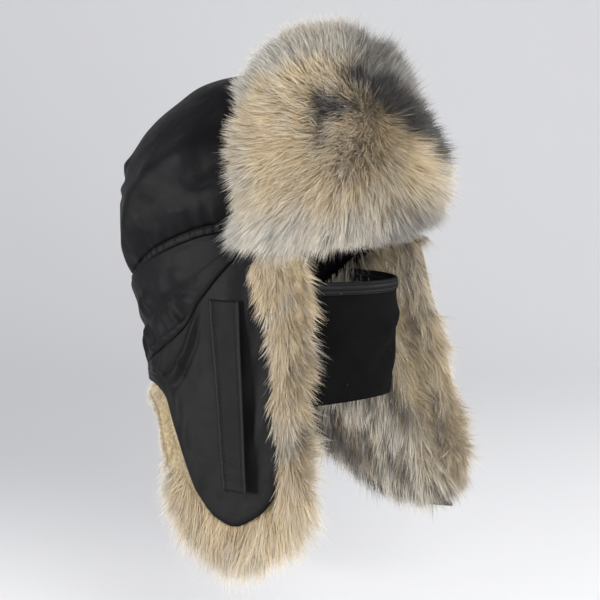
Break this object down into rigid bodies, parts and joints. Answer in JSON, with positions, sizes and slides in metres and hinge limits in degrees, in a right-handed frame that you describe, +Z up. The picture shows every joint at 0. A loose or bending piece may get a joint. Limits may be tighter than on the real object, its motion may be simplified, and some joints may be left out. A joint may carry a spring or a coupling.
{
  "type": "winter trapper hat with face mask",
  "caption": "Black padded winter hat with a turned-up fur brim, fur-lined ear flaps, flap straps and a knit face mask, shown as worn.",
  "frame": {"origin": "head seat: inside top of the crown, where the wearer's head meets it", "axes": "+Z up, -Y the way the wearer faces, -X the wearer's right"},
  "size_m": [0.2735, 0.2586, 0.3875],
  "materials": {
    "crown_nylon": "black padded nylon, soft sheen",
    "band_nylon": "black gathered nylon, soft sheen",
    "flap_nylon": "black nylon, soft sheen",
    "strap_webbing": "black flat webbing, matt",
    "mask_knit": "black brushed knit, matt",
    "binding_rib": "dark grey rib knit, matt",
    "flap_fur": "long faux fur, tan with grey tips",
    "brim_fur": "long faux fur, tan with cream and charcoal tips"
  },
  "bodies": {
    "root": {"crown": "crown_nylon", "seam_band": "band_nylon", "lower_band": "band_nylon", "right_ear_flap": "flap_nylon", "left_ear_flap": "flap_nylon", "right_strap": "strap_webbing", "left_strap": "strap_webbing", "brim_backing": "flap_nylon", "face_mask": "mask_knit", "mask_binding": "binding_rib", "nape_fur": "flap_fur", "brim_fur": "brim_fur", "right_flap_fur": "flap_fur", "left_flap_fur": "flap_fur"}
  },
  "joints": []
}
